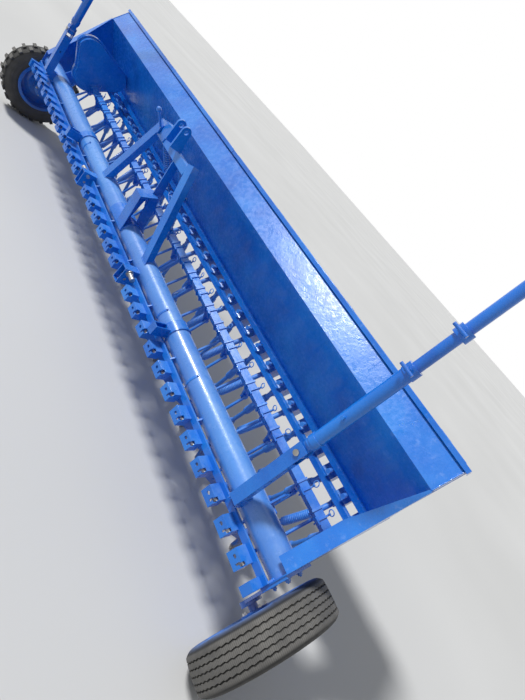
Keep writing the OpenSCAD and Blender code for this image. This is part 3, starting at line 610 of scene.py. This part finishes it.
wheelNuts = {
    "count": 5,
    "face": 0.012,                          # outwards, where the disc under the nuts is
    "circle": 0.076,
    "across": 0.022,
    "turn": 0.3,                            # radians
    "innerFace": -0.086,                    # inwards, the small nuts of the bearing flange
    "innerCircle": 0.052,
    "innerAcross": 0.013,
    "innerTurn": 0.7,
}
hubCap = {
    "end": 0.050,                           # outwards, where the cap sits
    "cap": [(-0.001, 0.036), (0.004, 0.036), (0.005, 0.033), (0.006, 0.030), (0.012, 0.0285),
            (0.0155, 0.025), (0.0175, 0.019), (0.0185, 0.010), (0.0187, 0.004)],
    "innerEnd": -0.088,                     # inwards, where the bearing flange sits
    "flange": [(0.001, 0.0585), (0.002, 0.060), (0.009, 0.060), (0.010, 0.0585)],
}
valve = {
    "face": 0.004,
    "circle": 0.140,
    "turn": 2.2,                            # radians
    "lean": (0.9, 0.35),                    # outwards and towards the hub
    "stem": [(-0.004, 0.0065), (0.012, 0.0055), (0.014, 0.004), (0.034, 0.0038),
             (0.035, 0.0052), (0.046, 0.0050), (0.047, 0.0042)],
}


def makeWheelNuts(label, centre, out):
    shape = bmesh.new()
    outward = Vector((out, 0, 0))
    for k in range(wheelNuts["count"]):
        angle = math.tau * k / wheelNuts["count"]
        outer = onWheel(centre, out * wheelNuts["face"], wheelNuts["circle"],
                        angle + wheelNuts["turn"])
        addBolt(shape, outer, outward, wheelNuts["across"])
        inner = onWheel(centre, out * wheelNuts["innerFace"], wheelNuts["innerCircle"],
                        angle + wheelNuts["innerTurn"])
        addBolt(shape, inner, -outward, wheelNuts["innerAcross"], washer=False)
    placePiece("wheel_nuts_" + label, shape, "brightSteel", "wheel_" + label)


def makeHubCap(label, centre, out):
    shape = bmesh.new()
    outward = Vector((out, 0, 0))
    addStack(shape, centre + outward * hubCap["end"], outward, hubCap["cap"], sides=36)
    addStack(shape, centre + outward * hubCap["innerEnd"], outward, hubCap["flange"], sides=48)
    placePiece("hub_cap_" + label, shape, "framePaint", "wheel_" + label)


def makeValve(label, centre, out):
    shape = bmesh.new()
    foot = onWheel(centre, out * valve["face"], valve["circle"], valve["turn"])
    lean = Vector((out * valve["lean"][0], 0, 0))
    lean += (centre - foot).normalized() * valve["lean"][1]
    addStack(shape, foot, lean, valve["stem"], sides=14)
    placePiece("valve_" + label, shape, "nearRubber", "wheel_" + label)


for label, centre in wheels.items():
    for makeTrim in (makeWheelNuts, makeHubCap, makeValve):
        makeTrim(label, centre, outwards[label])
print("wheel trim done")

# Two coil springs behind the headstock, from the top beam down to the near leg

springs = {
    "coil": 20.0,                           # millimetres, a radius as the wire is
    "wire": 3.8,
    "pitch": 12.5,
    "turnSteps": 20,
    "taper": 1.6,                           # how soon a coil opens from its hook
    "depth": 18,                            # behind the tube's axis
    "eye": 10.5,                            # the hook round its stud
    "eyeSteps": 18,
    "eyeFrom": 20,                          # degrees
    "eyeTurn": 320,
    # across and up: one stud, the coil's two ends, the other stud
    "long": [(-233, 1052), (-196, 1045), (2, 947), (336, 786)],
    "short": [(30, 1050), (66, 1033), (173, 990), (264, 953)],
}
springStuds = {
    "foot": -0.020,                         # metres behind the tube's axis
    "stud": [(0, 0.0065), (0.046, 0.0065), (0.048, 0.0055)],
    "nutAt": -0.0105,
    "nutAcross": 0.019,
    "collarAt": 0.0055,                     # behind the hook's middle
    "collar": [(0, 0.014), (0.002, 0.014)],
}
rearward = Vector((0, 1, 0))


def springPath(first, last):
    turns = round((last - first).length * 1000 / springs["pitch"])
    third = (last - first).normalized().cross(rearward)
    steps = turns * springs["turnSteps"]
    path = []
    for k in range(steps + 1):
        share = k / steps
        opened = min(1.0, share * turns * springs["taper"], (1 - share) * turns * springs["taper"])
        angle = math.tau * turns * share
        across = rearward * math.cos(angle) + third * math.sin(angle)
        path.append(first.lerp(last, share) + across * (springs["coil"] / 1000 * opened))
    return path


def loopAround(stud, toward):
    # a hook's eye round a stud, from which the wire leaves towards the spring
    ahead = (toward - stud).normalized()
    across = rearward.cross(ahead)
    angles = [math.radians(springs["eyeFrom"] + springs["eyeTurn"] * k / springs["eyeSteps"])
              for k in range(springs["eyeSteps"] + 1)]
    return [stud + (ahead * math.cos(a) + across * math.sin(a)) * (springs["eye"] / 1000)
            for a in angles]


def makeSpring(label):
    stud, start, finish, end = [spot(x, springs["depth"], z) for x, z in springs[label]]
    path = loopAround(stud, start) + springPath(start, finish) + loopAround(end, finish)[::-1]
    shape = bmesh.new()
    addPipe(shape, path, springs["wire"] / 1000, sides=7)
    placePiece("spring_" + label, shape, "framePaint", "frame", crease=60)
    shape = bmesh.new()
    for eye in (stud, end):
        onAxis = Vector((eye.x, tubeAxis.y, eye.z))
        foot = onAxis + rearward * springStuds["foot"]
        addStack(shape, foot, rearward, springStuds["stud"], sides=16)
        nut = onAxis + rearward * springStuds["nutAt"]
        addBolt(shape, nut, rearward, springStuds["nutAcross"])
        collar = eye + rearward * springStuds["collarAt"]
        addStack(shape, collar, rearward, springStuds["collar"], sides=20)
    placePiece("spring_studs_" + label, shape, "framePaint", "frame")


makeSpring("long")
makeSpring("short")
print("springs done")

# A ring pin through every shaft clamp

ringPins = {
    "ring": 0.013,
    "wire": 0.0023,
    "steps": 28,
    "sunk": 0.002,                          # of the ring, into the pin's head
    "foot": (13, 171, 706),                 # from the row's middle, the tube's axis and the ground
    "top": (12, 175, 737),
    "pin": [(0, 0.0042), (0.028, 0.0042), (0.0285, 0.0058), (0.033, 0.0058), (0.034, 0.0045)],
    "turn": (-0.5, 0.5),                    # each ring hangs a little differently
    "lean": (-0.35, 0.2),
}


def makeRingPins():
    shape = bmesh.new()
    for row in range(rows["count"]):
        foot, top = [spot(rowX(row) + x, y, z) for x, y, z in (ringPins["foot"], ringPins["top"])]
        addStack(shape, foot, top - foot, ringPins["pin"], sides=12)
        turn = random.uniform(*ringPins["turn"])
        across = Vector((math.cos(turn), math.sin(turn), 0))
        over = Vector((0, random.uniform(*ringPins["lean"]), 1)).normalized()
        middle = top + over * (ringPins["ring"] - ringPins["sunk"])
        ring = ringAround(middle, across, over, ringPins["ring"], ringPins["steps"])
        hang = across.cross(over)
        addPipe(shape, ring, ringPins["wire"], sides=7, closed=True, up=hang)
    placePiece("ring_pins", shape, "tubePaint", "frame", crease=50)


makeRingPins()
print("ring pins done")

# Thin straps round the front of the main tube, each with a small bolt at both ends

straps = {
    "places": (767, 1179, -767),            # millimetres along the tube
    "section": [(-6.5, 0), (-6.5, 1.4), (-5.5, 2.0), (5.5, 2.0), (6.5, 1.4), (6.5, 0)],
    "sunk": 0.4,
    "from": 128,                            # degrees round the tube, from the rear over the top
    "to": 226,
    "steps": 32,
    "endThick": 0.25,                       # of the thickness
    "boltIn": 6,                            # degrees from an end
    "boltUp": 1.6,
    "boltAcross": 0.008,                    # metres
}


def makeStraps():
    shape = bmesh.new()
    base, steps = tubeRadius - straps["sunk"], straps["steps"]
    for x in straps["places"]:
        rings = []
        for k in range(steps + 1):
            angle = math.radians(straps["from"] + (straps["to"] - straps["from"]) * k / steps)
            share = straps["endThick"] if k in (0, steps) else 1
            ring = []
            for across, up in straps["section"]:
                reach = base + up * share
                ring.append(shape.verts.new(spot(
                    x + across, reach * math.cos(angle), tubeHeight + reach * math.sin(angle))))
            rings.append(ring)
        joinRings(shape, rings)
        middle = tubeAxis + Vector((x / 1000, 0, 0))
        for angle in (straps["from"] + straps["boltIn"], straps["to"] - straps["boltIn"]):
            away = Vector((0, math.cos(math.radians(angle)), math.sin(math.radians(angle))))
            place = middle + away * ((base + straps["boltUp"]) / 1000)
            addBolt(shape, place, away, straps["boltAcross"], washer=False)
    placePiece("tube_straps", shape, "framePaint", "frame")


makeStraps()
print("straps done")

# Weld beads: an uneven bar along the line where two parts meet. Millimetres

welds = {
    "step": 3.5,
    "even": (0.86, 1.08),                   # the bead's size at every other step
    "uneven": 0.08,
    "stray": 0.0003,                        # metres
    "merge": 0.00005,                       # metres, points this close are one
    "sides": 6,
    "fewest": 4,                            # steps that are worth a bead
}


def mergedCopy(name):
    shape = bmesh.new()
    shape.from_mesh(frame["nodes"][name].data)
    bmesh.ops.remove_doubles(shape, verts=shape.verts, dist=welds["merge"])
    return shape


def borderLines(shape, inside):
    # chains of points along the edges between faces that pass the test and faces that don't
    near = {}
    for edge in shape.edges:
        if len(edge.link_faces) == 2 and sum(inside(f) for f in edge.link_faces) == 1:
            for a, b in (edge.verts, reversed(edge.verts)):
                near.setdefault(a.index, []).append(b.index)
    shape.verts.ensure_lookup_table()
    lines, seen = [], set()
    for start in sorted(near, key=lambda v: (len(near[v]) != 1, v)):
        if start in seen:
            continue
        line, ahead = [], [start]
        while ahead:
            line.append(ahead[0])
            seen.add(ahead[0])
            ahead = [n for n in near[ahead[0]] if n not in seen]
        closed = len(line) > 2 and start in near[line[-1]]
        if len(line) > 1:
            lines.append(([shape.verts[v].co.copy() for v in line], closed))
    return lines


def evenSteps(points, closed, step):
    # points one step apart along a chain of points
    points = points + [points[0]] if closed else points
    even, left = [points[0]], step
    for a, b in zip(points, points[1:]):
        span = (b - a).length
        while span > left > 0:
            a = a + (b - a) * (left / span)
            even.append(a)
            span = (b - a).length
            left = step
        left -= span
    return even


def addBead(shape, points, closed, size):
    path = evenSteps(points, closed, welds["step"] / 1000)
    if len(path) < welds["fewest"]:
        return
    uneven, stray = welds["uneven"], welds["stray"]
    sizes = [size / 1000 * (welds["even"][k % 2] + random.uniform(-uneven, uneven))
             for k in range(len(path))]
    path = [p + Vector([random.uniform(-stray, stray) for axis in range(3)]) for p in path]
    addPipe(shape, path, sizes, welds["sides"], closed)


# Welds where a node's cut end meets the main tube, found on the node's own mesh

tubeWelds = {
    "nodes": ["headstock_legs", "centre_tower", "marker_posts", "stand_sockets", "tube_lugs",
              "end_frame_near", "end_frame_far", "coulter_bar"],
    "bead": 3.3,
    "near": 1.6,                            # a face this close to the tube's wall lies on it
    "facing": -0.9,                         # and looks inwards
}


def onTubeWall(face):
    middle = face.calc_center_median()
    outward = Vector((0, middle.y - tubeAxis.y, middle.z - tubeAxis.z))
    gap = abs(outward.length * 1000 - tubeRadius)
    facing = outward.normalized().dot(face.normal)
    return gap < tubeWelds["near"] and facing < tubeWelds["facing"]


def makeTubeWelds():
    shape = bmesh.new()
    for name in tubeWelds["nodes"]:
        source = mergedCopy(name)
        source.normal_update()
        for points, closed in borderLines(source, onTubeWall):
            addBead(shape, points, closed, tubeWelds["bead"])
        source.free()
    placePiece("tube_welds", shape, "framePaint", "frame", crease=80)


makeTubeWelds()
print("tube welds done")

# Welds between the hopper's skin and the end frames, along its folded outline

hopperSeams = {
    "bead": 3.0,
    "inset": 0.8,
    "lines": [[(715, 1168), (446, 779)], [(416, 779), (201, 1131), (285, 1263)]],
}


def makeHopperSeams():
    shape = bmesh.new()
    for side in (-1, 1):
        x = side * (halfWidth - hopperSeams["inset"])
        for line in hopperSeams["lines"]:
            addBead(shape, [spot(x, y, z) for y, z in line], False, hopperSeams["bead"])
    placePiece("hopper_seams", shape, "sheetPaint", "frame", crease=80)


makeHopperSeams()
print("hopper seams done")

# Bolts that hold the wheel legs to the end frames, on the legs' outer sides

legBolts = {
    "places": [(-44, 575), (44, 575), (-40, 505), (58, 505)],
    "across": 0.016,
    "outside": 2400,                        # where the search for the leg's side starts
}


def makeLegBolts():
    shape = bmesh.new()
    for label, out in outwards.items():
        outward = Vector((out, 0, 0))
        for y, z in legBolts["places"]:
            start = spot(out * legBolts["outside"], y, z)
            place = surfaceAt("wheel_leg_" + label, start, -outward)
            if place is not None:
                addBolt(shape, place, outward, legBolts["across"])
    placePiece("frame_bolts", shape, "framePaint", "frame")


makeLegBolts()
print("bolts done")

# The rolled bead along each lid, just behind its front edge. Metres

lidBead = {
    "behind": 0.024,                        # the lid's front edge
    "round": 0.0040,
    "sunk": 0.0012,
    "ends": 0.030,                          # from the lid's sides
    "tip": [(0, 0.35), (0.4, 0.8), (1.2, 1)],       # how far in, and how thick, in radii
    "steps": 24,
    "above": 0.2,                           # where the search for the lid's top starts
}


def makeLidBead(label):
    low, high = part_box("lid_" + label)
    y, size, steps = low.y + lidBead["behind"], lidBead["round"], lidBead["steps"]
    first, last = [surfaceAt("lid_" + label, Vector((x, y, high.z + lidBead["above"])),
                             Vector((0, 0, -1))) - Vector((0, 0, lidBead["sunk"]))
                   for x in (low.x + lidBead["ends"], high.x - lidBead["ends"])]
    along = (last - first).normalized()
    thickness = [size * share for inward, share in lidBead["tip"]]
    path = [first + along * size * inward for inward, share in lidBead["tip"]]
    path += [first.lerp(last, k / steps) for k in range(1, steps)]
    path += [last - along * size * inward for inward, share in reversed(lidBead["tip"])]
    shape = bmesh.new()
    sizes = thickness + [size] * (steps - 1) + thickness[::-1]
    addPipe(shape, path, sizes, sides=16)
    placePiece("lid_bead_" + label, shape, "sheetPaint", "lid_" + label)


makeLidBead("near")
makeLidBead("far")
print("lid beads done")

# Ribbed sleeves on the upper half of every seed tube. Millimetres

sleeves = {
    "round": 20.3,
    "rib": 1.6,
    "ribSteps": [(0, 0), (0.22, 1), (0.55, 1), (0.78, 0)],      # along one rib, and how proud
    "pitch": 9.0,
    "sides": 14,
    "knee": [(78, 384, 574), (65, 461, 574)],       # even rows, then odd rows
    "foot": [(0, 316, 228), (0, 545, 228)],
    "share": (0.04, 0.48),                  # where a sleeve starts and ends on its tube
}


def makeSleeves():
    shape = bmesh.new()
    for row in range(rows["count"]):
        knee, foot = [spot(rowX(row) + x, y, z)
                      for x, y, z in (sleeves["knee"][row % 2], sleeves["foot"][row % 2])]
        first, last = [knee.lerp(foot, share) for share in sleeves["share"]]
        length = (last - first).length
        ribs = int(length * 1000 / sleeves["pitch"])
        steps = [(length * (k + along) / ribs, (sleeves["round"] + sleeves["rib"] * proud) / 1000)
                 for k in range(ribs) for along, proud in sleeves["ribSteps"]]
        addStack(shape, first, last - first, steps, sleeves["sides"])
    placePiece("tube_sleeves", shape, "tubePaint", "frame", crease=30)


makeSleeves()
print("sleeves done")

studio = {
    "floorSize": 240.0,
    "floorGap": 0.001,
    "sky": (0.92, 0.95, 1.0, 1),
    "skyLight": 0.30,
    "behind": (1, 1, 1, 1),                 # white, for the camera and reflections alone
    "sun": 3.1,
    "sunAngle": 9,
    "sunFrom": (-0.50, -0.42, 0.757),       # high, from the front and the far end
}


def makeFloor():
    half = studio["floorSize"] / 2
    mesh = bpy.data.meshes.new("floor")
    corners = [(-half, -half, 0), (half, -half, 0), (half, half, 0), (-half, half, 0)]
    mesh.from_pydata(corners, [], [(0, 1, 2, 3)])
    mesh.materials.append(finishes["floor"])
    floor = bpy.data.objects.new("floor", mesh)
    floor.location.z = cadBox[0].z - studio["floorGap"]
    bpy.context.collection.objects.link(floor)


def makeLight():
    world = bpy.data.worlds.new("studio")
    bpy.context.scene.world = world
    world.use_nodes = True
    tree = world.node_tree
    light = tree.nodes["Background"]
    light.inputs["Color"].default_value = studio["sky"]
    light.inputs["Strength"].default_value = studio["skyLight"]
    white = tree.nodes.new("ShaderNodeBackground")
    white.inputs["Color"].default_value = studio["behind"]
    rays = tree.nodes.new("ShaderNodeLightPath").outputs
    seen = mathOn(tree, "MAXIMUM", rays["Is Camera Ray"], rays["Is Glossy Ray"])
    seen = mathOn(tree, "MAXIMUM", seen, rays["Is Transmission Ray"])
    mix = tree.nodes.new("ShaderNodeMixShader")
    tree.links.new(seen, mix.inputs["Fac"])
    tree.links.new(light.outputs["Background"], mix.inputs[1])
    tree.links.new(white.outputs["Background"], mix.inputs[2])
    tree.links.new(mix.outputs["Shader"], tree.nodes["World Output"].inputs["Surface"])
    sun = bpy.data.lights.new("sun", "SUN")
    sun.energy = studio["sun"]
    sun.angle = math.radians(studio["sunAngle"])
    lamp = bpy.data.objects.new("sun", sun)
    lamp.rotation_euler = Vector(studio["sunFrom"]).to_track_quat("Z", "Y").to_euler()
    bpy.context.collection.objects.link(lamp)
    bpy.context.scene.view_settings.view_transform = "Standard"


makeFloor()
makeLight()
print("studio done")
